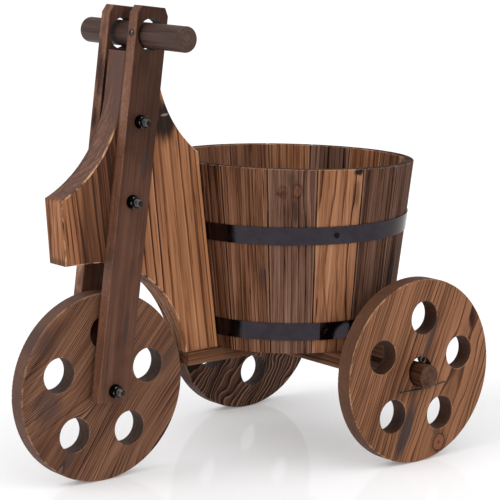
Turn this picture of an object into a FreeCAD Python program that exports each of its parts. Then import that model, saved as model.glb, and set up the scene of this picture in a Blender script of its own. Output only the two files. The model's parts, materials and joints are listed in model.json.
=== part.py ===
import FreeCAD, Part
import math
import os

# Wheeled planter: a stave barrel on a three-wheeled wooden frame.
# Frame: +X forward, +Y the rider's left, +Z up. The origin is on the floor, midway between the axles.
# Lengths are in millimetres and angles in degrees.

# Wheels
wheel_diameter = 220.0
wheel_thickness = 22.0
wheel_edge_round = 2.0
wheel_hole_count = 5
wheel_hole_diameter = 40.0
wheel_hole_circle = 128.0
wheel_hole_round = 1.0
front_wheel_turn = 92.5
rear_left_wheel_turn = 95.0
rear_right_wheel_turn = 117.0
rear_wheel_bore = 36.0
wheelbase = 338.0
rear_track = 328.0
running_gap = 0.3

# Rear axle
axle_diameter = 28.0
axle_overhang = 16.0
axle_end_round = 1.5

# Cotter pins
cotter_wire = 2.0
cotter_gap = 0.2
cotter_eye_diameter = 9.0
cotter_neck_radius = 2.0
cotter_bend_radius = 2.0
cotter_front_bend = 91.0
cotter_rear_bend = 96.0
cotter_leg_spread = 35.5
cotter_stand = 0.4
cotter_setback = 4.5

# Fork blades
fork_rake = 7.6
blade_wall = 3.1
blade_thickness = 16.0
blade_below_axle = 14.0
blade_above_handle = 31.0
blade_corner_width = 5.0
blade_corner_height = 9.0
blade_edge_round = 1.0
right_blade_forward = 3.0
right_blade_drop = 2.0
handle_reach = 403.0
lower_bolt_reach = 215.5
upper_bolt_reach = 305.5
bolt_ahead = 2.5

# Handlebar
handle_diameter = 29.0
handle_length = 187.0
handle_offset = 6.0
handle_play = 3.4
handle_drop = 1.4
handle_end_round = 2.0
handle_screw_length = 24.0
handle_screw_head_diameter = 7.0
handle_screw_head_height = 2.2

# Frame panel
panel_thickness = 34.0
panel_edge_bevel = 1.4
panel_top_gap = 3.3
panel_rise = 19.0
nose_height = 74.0
nose_top_forward = 58.5
nose_bottom_forward = 52.8
nose_curve_below_top = 51.8
saddle_curve_above_top = 19.0
arch_clearance = 24.0
arch_lead = 20.5
arch_lift = 12.0

# Base boards
board_width = 42.0
board_thickness = 15.0
board_edge_round = 1.0
plank_tail = 34.0
cross_board_lead = 75.0
cross_board_end_gap = 3.0
lap_gap = 0.1

# Barrel
barrel_lead = 55.0
barrel_height = 216.0
barrel_top_radius = 148.0
barrel_bottom_radius = 121.5
rim_slope = 2.05
rim_high_angle = 15.0
stave_count = 16
stave_thickness = 12.0
stave_gap = 0.3
stave_edge_bevel = 0.9
first_stave_angle = -5.0
floor_thickness = 14.0
floor_gap = 0.2
floor_board_gap = 0.3
drain_hole_count = 4
drain_hole_diameter = 10.0
drain_hole_circle = 160.0
drain_hole_turn = 45.0

# Hoops and their nails
hoop_width = 21.0
hoop_thickness = 1.2
hoop_gap = 0.1
upper_hoop_rise = 141.5
lower_hoop_rise = 26.5
hoop_lap_angle = 14.0
upper_hoop_lap_end = 200.0
lower_hoop_lap_end = 66.7
upper_hoop_nail_angles = (72.9, 203.5)
lower_hoop_nail_angles = (70.2, 250.0)
nail_diameter = 2.5
nail_length = 9.0
nail_head_diameter = 6.6
nail_head_height = 1.6
nail_head_round = 1.1

# Bolts, nuts and washers
bolt_diameter = 8.0
bolt_hole_gap = 0.2
bolt_head_height = 5.3
bolt_end_show = 7.5
bolt_end_chamfer = 1.0
hex_across_flats = 13.0
hex_chamfer = 0.9
nut_height = 6.5
washer_diameter = 16.0
washer_thickness = 1.6

# Wood screws
screw_diameter = 4.0
screw_head_diameter = 8.0
screw_head_height = 2.6
screw_tip_length = 4.0
screw_fit = 0.05
panel_screw_length = 45.0
floor_screw_length = 26.0
axle_screw_length = 34.0
stave_screw_length = 36.0
axle_screw_spacing = 24.0
cross_screw_spacing = 150.0
foot_screw_shares = (0.28, 0.72)
stave_screw_shares = (0.36, 0.80)

# Distance that a cutting tool runs past the surface it cuts
overrun = 1.0

# Places worked out from the driving dimensions
wheel_radius = wheel_diameter / 2
front_axle_x = wheelbase / 2
rear_axle_x = -wheelbase / 2
axle_z = wheel_radius - (rear_wheel_bore - axle_diameter) / 2 + running_gap
base_bottom_z = axle_z + axle_diameter / 2
base_top_z = base_bottom_z + board_thickness
barrel_x = rear_axle_x + barrel_lead
barrel_top_z = base_top_z + barrel_height
barrel_taper = (barrel_top_radius - barrel_bottom_radius) / barrel_height
wheel_outer_y = (rear_track + wheel_thickness) / 2
fork_outer_y = panel_thickness / 2 + blade_thickness
handle_hole_diameter = handle_diameter + 2 * handle_play
blade_width = handle_hole_diameter + 2 * blade_wall
blade_top_reach = handle_reach + blade_above_handle
panel_top_reach = handle_reach - handle_hole_diameter / 2 - panel_top_gap
bolt_hole_diameter = bolt_diameter + 2 * bolt_hole_gap
arch_radius = wheel_radius + arch_clearance
arch_x = front_axle_x + arch_lead
arch_z = wheel_radius + arch_lift
nose_bottom_z = arch_z + arch_radius
foot_x = arch_x - math.sqrt(arch_radius ** 2 - (base_top_z - arch_z) ** 2)
axis_x = FreeCAD.Vector(1, 0, 0)
axis_y = FreeCAD.Vector(0, 1, 0)
axis_z = FreeCAD.Vector(0, 0, 1)


def point(x, y, z):
    return FreeCAD.Vector(x, y, z)


def rod(diameter, start, direction, length):
    return Part.makeCylinder(diameter / 2, length, start, direction)


def rounded(shape, radius, chosen):
    edges = [edge for edge in shape.Edges if chosen(edge)]
    return shape.makeFillet(radius, edges)


def bevelled(shape, size, chosen):
    edges = [edge for edge in shape.Edges if chosen(edge)]
    return shape.makeChamfer(size, edges)


def level_in_y(edge):
    box = edge.BoundBox
    return box.YLength < running_gap


def extruded(edges, direction):
    return Part.Face(Part.Wire(edges)).extrude(direction)


def outline(points):
    closed = points + points[:1]
    return [Part.LineSegment(a, b).toShape() for a, b in zip(closed, closed[1:])]


def arc(start, end, centre):
    # The shorter arc from start to end about the centre
    middle = (start - centre) + (end - centre)
    middle.normalize()
    return Part.Arc(start, centre + middle * (start - centre).Length, end).toShape()


def on_circle(count, diameter, turn):
    # Places evenly spread on a circle, as pairs of offsets
    angles = [math.radians(turn + 360 / count * index) for index in range(count)]
    return [(diameter / 2 * math.cos(angle), diameter / 2 * math.sin(angle)) for angle in angles]


# Places on the raked fork: reach is measured up the blade from the axle, ahead is towards the front edge
rake = math.radians(fork_rake)


def fork_point(reach, ahead, y):
    x = front_axle_x - reach * math.sin(rake) + ahead * math.cos(rake)
    z = wheel_radius + reach * math.cos(rake) + ahead * math.sin(rake)
    return point(x, y, z)


def fork_place(x, z):
    forward = x - front_axle_x
    up = z - wheel_radius
    return up * math.cos(rake) - forward * math.sin(rake), forward * math.cos(rake) + up * math.sin(rake)


# Places on the tapered barrel: angle 0 points forward, at the frame panel
def barrel_radius(z):
    return barrel_bottom_radius + barrel_taper * (z - base_top_z)


def barrel_point(radius, angle, z):
    turn = math.radians(angle)
    return point(barrel_x + radius * math.cos(turn), radius * math.sin(turn), z)


def barrel_normal(angle):
    slope = math.atan(barrel_taper)
    turn = math.radians(angle)
    level = math.cos(slope)
    return point(level * math.cos(turn), level * math.sin(turn), -math.sin(slope))


def barrel_band(low_z, high_z, inner, outer, angle, start_angle=0.0, shift=None):
    # A band between two offsets from the barrel's outside, turned through an angle about its axis
    section = [
        point(barrel_x + barrel_radius(low_z) + inner, 0, low_z),
        point(barrel_x + barrel_radius(low_z) + outer, 0, low_z),
        point(barrel_x + barrel_radius(high_z) + outer, 0, high_z),
        point(barrel_x + barrel_radius(high_z) + inner, 0, high_z),
    ]
    band = Part.Face(Part.Wire(outline(section))).revolve(point(barrel_x, 0, 0), axis_z, angle)
    band.rotate(point(barrel_x, 0, 0), axis_z, start_angle)
    if shift:
        band.translate(shift)
    return band


# Fasteners
def turned(profile, start, direction):
    # A round solid from (radius, distance) pairs, standing at start and running along direction
    face = Part.Face(Part.Wire(outline([point(radius, 0, distance) for radius, distance in profile])))
    solid = face.revolve(point(0, 0, 0), axis_z, 360)
    solid.Placement = FreeCAD.Placement(start, FreeCAD.Rotation(axis_z, direction))
    return solid


def wood_screw(start, direction, length, fit=0.0):
    # A countersunk screw whose head lies flush at start
    profile = [
        (0, 0),
        (screw_head_diameter / 2 + fit, 0),
        (screw_diameter / 2 + fit, screw_head_height),
        (screw_diameter / 2 + fit, length - screw_tip_length),
        (0, length + fit),
    ]
    return turned(profile, start, direction)


def hexagon(start, direction, height):
    corner = hex_across_flats / math.sqrt(3)
    corners = [point(x, y, 0) for x, y in on_circle(6, 2 * corner, 0)]
    prism = extruded(outline(corners), axis_z * height)
    blank = turned([
        (0, 0),
        (corner, 0),
        (corner, height - hex_chamfer),
        (corner - hex_chamfer, height),
        (0, height),
    ], point(0, 0, 0), axis_z)
    solid = prism.common(blank)
    solid.Placement = FreeCAD.Placement(start, FreeCAD.Rotation(axis_z, direction))
    return solid


def bolt(place):
    # The head is on the right and the nut on the left, with a washer under each
    under_head = point(place.x, -fork_outer_y - washer_thickness, place.z)
    length = 2 * (fork_outer_y + washer_thickness) + nut_height + bolt_end_show
    shank = turned([
        (0, 0),
        (bolt_diameter / 2, 0),
        (bolt_diameter / 2, length - bolt_end_chamfer),
        (bolt_diameter / 2 - bolt_end_chamfer, length),
        (0, length),
    ], under_head, axis_y)
    return hexagon(under_head, -axis_y, bolt_head_height).fuse(shank).removeSplitter()


def nut(place):
    seat = point(place.x, fork_outer_y + washer_thickness, place.z)
    return hexagon(seat, axis_y, nut_height).cut(rod(bolt_hole_diameter, seat, axis_y, nut_height))


def washer(place, y):
    start = point(place.x, y, place.z)
    ring = rod(washer_diameter, start, axis_y, washer_thickness)
    return ring.cut(rod(bolt_hole_diameter, start, axis_y, washer_thickness))


def outer_washers(place):
    return [washer(place, fork_outer_y), washer(place, -fork_outer_y - washer_thickness)]


def bolt_hole(place):
    start = point(place.x, -fork_outer_y - overrun, place.z)
    return rod(bolt_hole_diameter, start, axis_y, 2 * (fork_outer_y + overrun))


axle_place = fork_point(0, 0, 0)
bolt_places = [fork_point(reach, bolt_ahead, 0) for reach in (lower_bolt_reach, upper_bolt_reach)]


# Wheels
def wheel(x, y, turn, bore):
    start = point(x, y - wheel_thickness / 2, wheel_radius)
    disc = rod(wheel_diameter, start, axis_y, wheel_thickness)
    disc = rounded(disc, wheel_edge_round, level_in_y)
    past = axis_y * overrun
    depth = wheel_thickness + 2 * overrun
    holes = [rod(bore, start - past, axis_y, depth)]
    for ahead, up in on_circle(wheel_hole_count, wheel_hole_circle, turn):
        holes.append(rod(wheel_hole_diameter, start - past + point(ahead, 0, up), axis_y, depth))
    disc = disc.cut(Part.makeCompound(holes))

    def hole_rim(edge):
        curve = edge.Curve
        return isinstance(curve, Part.Circle) and abs(curve.Radius - wheel_hole_diameter / 2) < running_gap

    return rounded(disc, wheel_hole_round, lambda edge: level_in_y(edge) and hole_rim(edge))


# Rear axle
def axle_screw_starts():
    half = axle_screw_spacing / 2
    return [point(rear_axle_x, side * half, base_top_z) for side in (-1, 1)]


def cotter_y(side):
    return side * (wheel_outer_y + cotter_setback)


def rear_axle():
    length = 2 * (wheel_outer_y + axle_overhang)
    dowel = rod(axle_diameter, point(rear_axle_x, -length / 2, axle_z), axis_y, length)
    dowel = rounded(dowel, axle_end_round, level_in_y)
    for side in (-1, 1):
        start = point(rear_axle_x, cotter_y(side), axle_z - axle_diameter / 2 - overrun)
        pin_hole = 2 * cotter_wire + 2 * cotter_gap
        dowel = dowel.cut(rod(pin_hole, start, axis_z, axle_diameter + 2 * overrun))
    for start in axle_screw_starts():
        dowel = dowel.cut(wood_screw(start, -axis_z, axle_screw_length, screw_fit))
    return dowel


def cotter_pin(side):
    # One bent wire: an eye above the axle, two legs through it, spread fore and aft below it
    y = cotter_y(side)
    leg = (cotter_wire + cotter_gap) / 2
    eye = (cotter_eye_diameter - cotter_wire) / 2
    top = axle_z + axle_diameter / 2 + cotter_stand
    low = axle_z - axle_diameter / 2 - cotter_stand
    reach = cotter_neck_radius + eye
    eye_z = top + math.sqrt(reach ** 2 - (leg + cotter_neck_radius) ** 2)
    eye_centre = point(rear_axle_x, y, eye_z)

    def half(way, degrees):
        bend = math.radians(degrees)
        neck_centre = point(rear_axle_x + way * (leg + cotter_neck_radius), y, top)
        meet = neck_centre + (eye_centre - neck_centre) * (cotter_neck_radius / reach)
        leg_top = point(rear_axle_x + way * leg, y, top)
        leg_low = point(rear_axle_x + way * leg, y, low)
        bend_centre = leg_low + point(way * cotter_bend_radius, 0, 0)
        across = -way * math.cos(bend) * cotter_bend_radius
        bend_end = bend_centre + point(across, 0, -math.sin(bend) * cotter_bend_radius)
        run = cotter_leg_spread - abs(bend_end.x - rear_axle_x)
        slope = math.tan(bend - math.pi / 2)
        tip = bend_end + point(way * run, 0, run * slope)
        return [
            Part.LineSegment(tip, bend_end).toShape(),
            arc(bend_end, leg_low, bend_centre),
            Part.LineSegment(leg_low, leg_top).toShape(),
            arc(leg_top, meet, neck_centre),
        ], meet, tip, bend_end

    front_edges, front_meet, tip, bend_end = half(1, cotter_front_bend)
    rear_edges, rear_meet, rear_tip, rear_bend = half(-1, cotter_rear_bend)
    crown = eye_centre + point(0, 0, eye)
    loop = Part.Arc(front_meet, crown, rear_meet).toShape()
    path = Part.Wire(front_edges + [loop] + rear_edges[::-1])
    section = Part.Wire(Part.Circle(tip, bend_end - tip, cotter_wire / 2).toShape())
    return path.makePipeShell([section], True, False)


# Fork and handlebar
def handle_axis(y):
    # The screw holds the bar a little below the middle of its larger hole in the left blade
    return fork_point(handle_reach, 0, y) - axis_z * handle_drop


def fork_blade(side):
    # The right blade is fixed a little lower and further forward than the left one
    forward = right_blade_forward if side < 0 else 0
    drop = right_blade_drop if side < 0 else 0
    half = blade_width / 2
    shoulder = blade_top_reach - blade_corner_height
    places = [
        (-blade_below_axle, half),
        (shoulder, half),
        (blade_top_reach, half - blade_corner_width),
        (blade_top_reach, blade_corner_width - half),
        (shoulder, -half),
        (-blade_below_axle, -half),
    ]
    inner_y = side * panel_thickness / 2
    points = [fork_point(reach - drop, ahead + forward, inner_y) for reach, ahead in places]
    blade = extruded(outline(points), axis_y * side * blade_thickness)
    blade = rounded(blade, blade_edge_round, level_in_y)
    hole = fork_point(handle_reach - drop, forward, -fork_outer_y - overrun)
    blade = blade.cut(rod(handle_hole_diameter, hole, axis_y, 2 * (fork_outer_y + overrun)))
    for place in bolt_places + [axle_place]:
        blade = blade.cut(bolt_hole(place))
    return blade.cut(handle_screw(screw_fit))


def handlebar():
    # The bar stands out further on the left than on the right
    bar = rod(handle_diameter, handle_axis(handle_offset - handle_length / 2), axis_y, handle_length)
    bar = rounded(bar, handle_end_round, level_in_y)
    return bar.cut(handle_screw(screw_fit))


def handle_screw(fit=0.0):
    # A pan-head screw through the front edge of the left blade into the bar
    seat = fork_point(handle_reach, blade_width / 2, panel_thickness / 2 + blade_thickness / 2)
    inward = fork_point(handle_reach, 0, seat.y) - seat
    head = handle_screw_head_height
    profile = [
        (0, -head),
        (handle_screw_head_diameter / 4, -head),
        (handle_screw_head_diameter / 2, -head / 2),
        (handle_screw_head_diameter / 2, 0),
        (screw_diameter / 2 + fit, 0),
        (screw_diameter / 2 + fit, handle_screw_length - screw_tip_length),
        (0, handle_screw_length + fit),
    ]
    return turned(profile, seat, inward)


# Frame panel
def curve_radius(reach, ahead, smooth_reach):
    # Radius of an arc that leaves the blade's edge smoothly at one reach and passes the given place
    aside = abs(ahead) - blade_width / 2
    return ((smooth_reach - reach) ** 2 + aside ** 2) / (2 * aside)


def panel_rear_x(z):
    return barrel_x + barrel_radius(z) + hoop_gap + hoop_thickness + running_gap


def foot_screw_starts():
    rear = panel_rear_x(base_top_z)
    return [point(rear + share * (foot_x - rear), 0, base_bottom_z) for share in foot_screw_shares]


def stave_screw_starts():
    heights = [base_top_z + share * barrel_height for share in stave_screw_shares]
    return [barrel_point(barrel_radius(z) - stave_thickness, 0, z) for z in heights]


def frame_panel():
    y = -panel_thickness / 2
    half = blade_width / 2
    nose_top = point(front_axle_x + nose_top_forward, y, nose_bottom_z + nose_height)
    nose_bottom = point(front_axle_x + nose_bottom_forward, y, nose_bottom_z)
    saddle_z = barrel_top_z + panel_rise
    saddle = point(panel_rear_x(saddle_z), y, saddle_z)
    foot_rear = point(panel_rear_x(base_top_z), y, base_top_z)
    foot_front = point(foot_x, y, base_top_z)
    arch_top = point(arch_x, y, nose_bottom_z)
    arch_centre = point(arch_x, y, arch_z)

    nose_reach, nose_ahead = fork_place(nose_top.x, nose_top.z)
    front_reach = panel_top_reach - nose_curve_below_top
    front_radius = curve_radius(nose_reach, nose_ahead, front_reach)
    front_centre = fork_point(front_reach, half + front_radius, y)
    front_start = fork_point(front_reach, half, y)
    top_front = fork_point(panel_top_reach, half, y)

    saddle_reach, saddle_ahead = fork_place(saddle.x, saddle.z)
    rear_reach = panel_top_reach + saddle_curve_above_top
    rear_radius = curve_radius(saddle_reach, saddle_ahead, rear_reach)
    rear_centre = fork_point(rear_reach, -half - rear_radius, y)
    across = math.sqrt(rear_radius ** 2 - saddle_curve_above_top ** 2)
    top_rear = fork_point(panel_top_reach, across - half - rear_radius, y)

    edges = [
        Part.LineSegment(arch_top, nose_bottom).toShape(),
        Part.LineSegment(nose_bottom, nose_top).toShape(),
        arc(nose_top, front_start, front_centre),
        Part.LineSegment(front_start, top_front).toShape(),
        Part.LineSegment(top_front, top_rear).toShape(),
        arc(top_rear, saddle, rear_centre),
        Part.LineSegment(saddle, foot_rear).toShape(),
        Part.LineSegment(foot_rear, foot_front).toShape(),
        arc(foot_front, arch_top, arch_centre),
    ]
    panel = extruded(edges, axis_y * panel_thickness)
    panel = bevelled(panel, panel_edge_bevel, level_in_y)
    for place in bolt_places:
        panel = panel.cut(bolt_hole(place))
    for start in foot_screw_starts():
        panel = panel.cut(wood_screw(start, axis_z, panel_screw_length, screw_fit))
    for start in stave_screw_starts():
        panel = panel.cut(wood_screw(start, barrel_normal(0), stave_screw_length, screw_fit))
    return panel


# Base boards, halved into each other where they cross
def cross_board_x():
    return rear_axle_x + cross_board_lead


def floor_board_width():
    return 2 * (barrel_bottom_radius - stave_thickness - floor_gap) / 3


def plank_floor_screws():
    places = [barrel_x - floor_board_width(), barrel_x + floor_board_width()]
    return [point(x, 0, base_bottom_z) for x in places]


def cross_floor_screws():
    half = cross_screw_spacing / 2
    return [point(cross_board_x(), side * half, base_bottom_z) for side in (-1, 1)]


def board(x, y, x_size, y_size):
    solid = Part.makeBox(x_size, y_size, board_thickness, point(x, y, base_bottom_z))
    return rounded(solid, board_edge_round, lambda edge: True)


def base_plank():
    rear = rear_axle_x - plank_tail
    plank = board(rear, -board_width / 2, foot_x - rear, board_width)
    lap_width = board_width + 2 * lap_gap
    lap_height = board_thickness / 2 + lap_gap / 2 + overrun
    for x in (cross_board_x(), rear_axle_x):
        corner = point(x - lap_width / 2, -board_width / 2 - overrun, base_bottom_z - overrun)
        plank = plank.cut(Part.makeBox(lap_width, board_width + 2 * overrun, lap_height, corner))
    for start in foot_screw_starts():
        plank = plank.cut(wood_screw(start, axis_z, panel_screw_length, screw_fit))
    for start in plank_floor_screws():
        plank = plank.cut(wood_screw(start, axis_z, floor_screw_length, screw_fit))
    for start in axle_screw_starts():
        plank = plank.cut(wood_screw(start, -axis_z, axle_screw_length, screw_fit))
    return plank


def crossing_board(x):
    length = rear_track - wheel_thickness - 2 * cross_board_end_gap
    cross = board(x - board_width / 2, -length / 2, board_width, length)
    lap_width = board_width + 2 * lap_gap
    middle_z = base_bottom_z + board_thickness / 2 - lap_gap / 2
    corner = point(x - board_width / 2 - overrun, -lap_width / 2, middle_z)
    lap_height = board_thickness / 2 + lap_gap / 2 + overrun
    return cross.cut(Part.makeBox(board_width + 2 * overrun, lap_width, lap_height, corner))


def cross_board():
    cross = crossing_board(cross_board_x())
    for start in cross_floor_screws():
        cross = cross.cut(wood_screw(start, axis_z, floor_screw_length, screw_fit))
    return cross


def axle_board():
    # Lies on the axle, between it and the plank
    cross = crossing_board(rear_axle_x)
    for start in axle_screw_starts():
        cross = cross.cut(wood_screw(start, -axis_z, axle_screw_length, screw_fit))
    for start in plank_floor_screws():
        cross = cross.cut(wood_screw(start, axis_z, floor_screw_length, screw_fit))
    return cross


# Barrel
def floor_board(index):
    # Three boards, counted from the rear, cut from one disc
    radius = barrel_bottom_radius - stave_thickness - floor_gap
    disc = rod(2 * radius, point(barrel_x, 0, base_top_z), axis_z, floor_thickness)
    width = floor_board_width()
    low_x = barrel_x - radius + index * width + floor_board_gap / 2
    corner = point(low_x, -radius - overrun, base_top_z - overrun)
    size_y = 2 * (radius + overrun)
    strip = Part.makeBox(width - floor_board_gap, size_y, floor_thickness + 2 * overrun, corner)
    piece = disc.common(strip)
    for ahead, left in on_circle(drain_hole_count, drain_hole_circle, drain_hole_turn):
        start = point(barrel_x + ahead, left, base_top_z - overrun)
        piece = piece.cut(rod(drain_hole_diameter, start, axis_z, floor_thickness + 2 * overrun))
    for start in plank_floor_screws() + cross_floor_screws():
        piece = piece.cut(wood_screw(start, axis_z, floor_screw_length, screw_fit))
    return piece


def rim_rise(x, y):
    # Height of the sloping rim above its middle, at a place on it
    side = math.radians(rim_high_angle)
    toward = (x - barrel_x) * math.cos(side) + y * math.sin(side)
    return toward * math.tan(math.radians(rim_slope))


def above_rim():
    # Everything above the rim's plane, which rises towards one side of the barrel
    reach = 2 * barrel_top_radius
    block = Part.makeBox(2 * reach, 2 * reach, reach, point(barrel_x - reach, -reach, barrel_top_z))
    side = math.radians(rim_high_angle)
    tilt_axis = point(math.sin(side), -math.cos(side), 0)
    block.rotate(point(barrel_x, 0, barrel_top_z), tilt_axis, rim_slope)
    return block


def stave(index):
    gap_angle = math.degrees(stave_gap / barrel_top_radius)
    turn = 360 / stave_count
    start_angle = first_stave_angle + index * turn + gap_angle / 2
    blank_top_z = barrel_top_z + barrel_top_radius * math.tan(math.radians(rim_slope)) + overrun
    piece = barrel_band(base_top_z, blank_top_z, -stave_thickness, 0, turn - gap_angle, start_angle)
    piece = piece.cut(above_rim())

    def outer_side(edge):
        ends = [math.hypot(vertex.X - barrel_x, vertex.Y) for vertex in edge.Vertexes]
        long = edge.BoundBox.ZLength > barrel_height / 2
        return long and max(ends) > barrel_top_radius - stave_thickness / 2

    def top_rim(edge):
        above = [vertex.Z - barrel_top_z - rim_rise(vertex.X, vertex.Y) for vertex in edge.Vertexes]
        return max(map(abs, above)) < running_gap

    piece = bevelled(piece, stave_edge_bevel, lambda edge: outer_side(edge) or top_rim(edge))
    piece = piece.cut(Part.makeCompound([nail(*place, screw_fit) for place in nail_places()]))
    for start in stave_screw_starts():
        piece = piece.cut(wood_screw(start, barrel_normal(0), stave_screw_length, screw_fit))
    return piece


# Hoops: each is a strip whose outer end laps over the strip and thins away round the barrel
def lap_shift():
    return hoop_thickness / math.sin(math.radians(hoop_lap_angle))


def lap_rise(angle, lap_end):
    # Height of the lap above the plain strip at an angle round the barrel
    past = angle - lap_end
    if past < 0 or past > hoop_lap_angle:
        return 0.0
    return lap_shift() * math.sin(math.radians(hoop_lap_angle - past))


def hoop(rise, lap_end, nail_angles):
    low_z = base_top_z + rise - hoop_width / 2
    high_z = low_z + hoop_width
    inner = hoop_gap
    outer = hoop_gap + hoop_thickness
    strip = barrel_band(low_z, high_z, inner, outer, 360)
    lean = math.radians(lap_end + hoop_lap_angle - 90)
    shift = point(lap_shift() * math.cos(lean), lap_shift() * math.sin(lean), 0)
    first = lap_end - hoop_lap_angle / 2
    lap = barrel_band(low_z, high_z, -stave_thickness, outer, 2 * hoop_lap_angle, first, shift)
    sector = barrel_band(low_z, high_z, inner, outer + 2 * hoop_thickness, hoop_lap_angle, lap_end)
    ring = strip.fuse(lap.common(sector)).removeSplitter()
    for angle in nail_angles:
        ring = ring.cut(nail(rise, angle, lap_end, screw_fit))
    return ring


def nail_places():
    upper = [(upper_hoop_rise, angle, upper_hoop_lap_end) for angle in upper_hoop_nail_angles]
    lower = [(lower_hoop_rise, angle, lower_hoop_lap_end) for angle in lower_hoop_nail_angles]
    return upper + lower


def nail(rise, angle, lap_end, fit=0.0):
    z = base_top_z + rise
    out = hoop_gap + hoop_thickness + lap_rise(angle, lap_end) + hoop_gap
    seat = barrel_point(barrel_radius(z) + out, angle, z)
    head = nail_head_height
    profile = [
        (0, -head),
        (nail_head_diameter / 2 - nail_head_round, -head),
        (nail_head_diameter / 2, nail_head_round - head),
        (nail_head_diameter / 2, 0),
        (nail_diameter / 2 + fit, 0),
        (nail_diameter / 2 + fit, nail_length - nail_diameter),
        (0, nail_length + fit),
    ]
    return turned(profile, seat, -barrel_normal(angle))


# Every node of the planter
nodes = {
    "fork_blade_left": fork_blade(1),
    "fork_blade_right": fork_blade(-1),
    "handlebar": handlebar(),
    "handlebar_screw": handle_screw(),
    "frame_panel": frame_panel(),
    "fork_bolts": Part.makeCompound([bolt(place) for place in bolt_places]),
    "fork_nuts": Part.makeCompound([nut(place) for place in bolt_places]),
    "fork_washers": Part.makeCompound([ring for place in bolt_places for ring in outer_washers(place)]),
    "front_axle_bolt": bolt(axle_place),
    "front_axle_nut": nut(axle_place),
    "front_axle_washers": Part.makeCompound(outer_washers(axle_place)),
    "front_wheel_washers": Part.makeCompound([
        washer(axle_place, panel_thickness / 2 - washer_thickness),
        washer(axle_place, -panel_thickness / 2),
    ]),
    "front_wheel": wheel(front_axle_x, 0, front_wheel_turn, bolt_diameter + 2 * running_gap),
    "rear_wheel_left": wheel(rear_axle_x, rear_track / 2, rear_left_wheel_turn, rear_wheel_bore),
    "rear_wheel_right": wheel(rear_axle_x, -rear_track / 2, rear_right_wheel_turn, rear_wheel_bore),
    "rear_axle": rear_axle(),
    "cotter_pin_left": cotter_pin(1),
    "cotter_pin_right": cotter_pin(-1),
    "base_plank": base_plank(),
    "cross_board": cross_board(),
    "axle_board": axle_board(),
    "panel_screws": Part.makeCompound([
        wood_screw(start, axis_z, panel_screw_length) for start in foot_screw_starts()
    ]),
    "floor_screws": Part.makeCompound([
        wood_screw(start, axis_z, floor_screw_length)
        for start in plank_floor_screws() + cross_floor_screws()
    ]),
    "axle_screws": Part.makeCompound([
        wood_screw(start, -axis_z, axle_screw_length) for start in axle_screw_starts()
    ]),
    "stave_screws": Part.makeCompound([
        wood_screw(start, barrel_normal(0), stave_screw_length) for start in stave_screw_starts()
    ]),
    "hoop_upper": hoop(upper_hoop_rise, upper_hoop_lap_end, upper_hoop_nail_angles),
    "hoop_lower": hoop(lower_hoop_rise, lower_hoop_lap_end, lower_hoop_nail_angles),
    "hoop_nails": Part.makeCompound([nail(*place) for place in nail_places()]),
}
for index, side in enumerate(("rear", "middle", "front")):
    nodes["floor_board_" + side] = floor_board(index)
for index in range(stave_count):
    nodes[f"stave_{index + 1:02d}"] = stave(index)

os.makedirs("parts", exist_ok=True)
for name, shape in nodes.items():
    shape.exportStep("parts/" + name + ".step")
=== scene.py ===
import json
import math
from collections import namedtuple

import bmesh
import bpy
from mathutils import Matrix, Vector


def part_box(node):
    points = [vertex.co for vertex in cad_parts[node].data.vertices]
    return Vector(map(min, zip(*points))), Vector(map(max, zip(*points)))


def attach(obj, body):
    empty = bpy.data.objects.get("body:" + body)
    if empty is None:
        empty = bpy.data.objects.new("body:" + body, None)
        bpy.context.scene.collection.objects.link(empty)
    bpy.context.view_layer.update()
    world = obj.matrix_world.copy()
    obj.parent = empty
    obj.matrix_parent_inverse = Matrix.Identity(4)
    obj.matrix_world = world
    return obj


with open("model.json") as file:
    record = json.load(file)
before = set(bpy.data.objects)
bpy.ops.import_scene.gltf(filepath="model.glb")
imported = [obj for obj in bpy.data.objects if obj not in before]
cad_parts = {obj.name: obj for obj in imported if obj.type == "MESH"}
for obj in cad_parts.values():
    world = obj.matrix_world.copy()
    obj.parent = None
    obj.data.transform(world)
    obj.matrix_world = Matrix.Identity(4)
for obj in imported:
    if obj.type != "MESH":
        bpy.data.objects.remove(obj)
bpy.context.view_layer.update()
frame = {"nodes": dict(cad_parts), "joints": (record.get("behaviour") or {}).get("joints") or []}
nodes = frame["nodes"]

# Places and lengths are in metres, apart from the camera's lens and sensor
UP = Vector((0, 0, 1))
FORWARD = Vector((1, 0, 0))
LEFT = Vector((0, 1, 0))
WHITE = (1, 1, 1, 1)

# Places of the main pieces, read from the frame
joint_places = {joint["name"]: Vector(joint["pos_m"]) for joint in frame["joints"]}
FRONT_HUB = joint_places["front_wheel_spin"]
REAR_LEFT_HUB = joint_places["rear_wheel_left_spin"]
REAR_RIGHT_HUB = joint_places["rear_wheel_right_spin"]
WHEEL_RADIUS = FRONT_HUB.z
floor_low, floor_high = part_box("floor_board_middle")
BARREL_FOOT = Vector(((floor_low.x + floor_high.x) / 2, 0, floor_low.z))
PANEL_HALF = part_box("frame_panel")[1].y
BAR_MIDDLE = sum(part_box("handlebar"), Vector()) / 2
AXLE_MIDDLE = sum(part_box("rear_axle"), Vector()) / 2

# Values of the part that the frame doesn't state, taken from its source
FORK_RAKE = math.radians(7.6)
BARREL_TAPER = 0.1227
BARREL_FOOT_RADIUS = 0.1215
STAVE_COUNT = 16
FIRST_STAVE_ANGLE = -5.0
STAVE_TURN = 360.0 / STAVE_COUNT

# Camera, solved from the photograph; lens and sensor in millimetres
CAMERA_PLACE = Vector((1.4712, 1.9219, 0.6897))
CAMERA_TARGET = Vector((-0.0515, 0.0, 0.2428))
CAMERA_LENS = 150.1
CAMERA_SENSOR = 36.0
CAMERA_ROLL = math.radians(0.18)
CAMERA_REACH = 100.0

# What the wood's own sheen adds to its colour in a white studio, and the least colour left under it
SHEEN = 0.012
LEAST_COLOUR = 0.001


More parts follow.
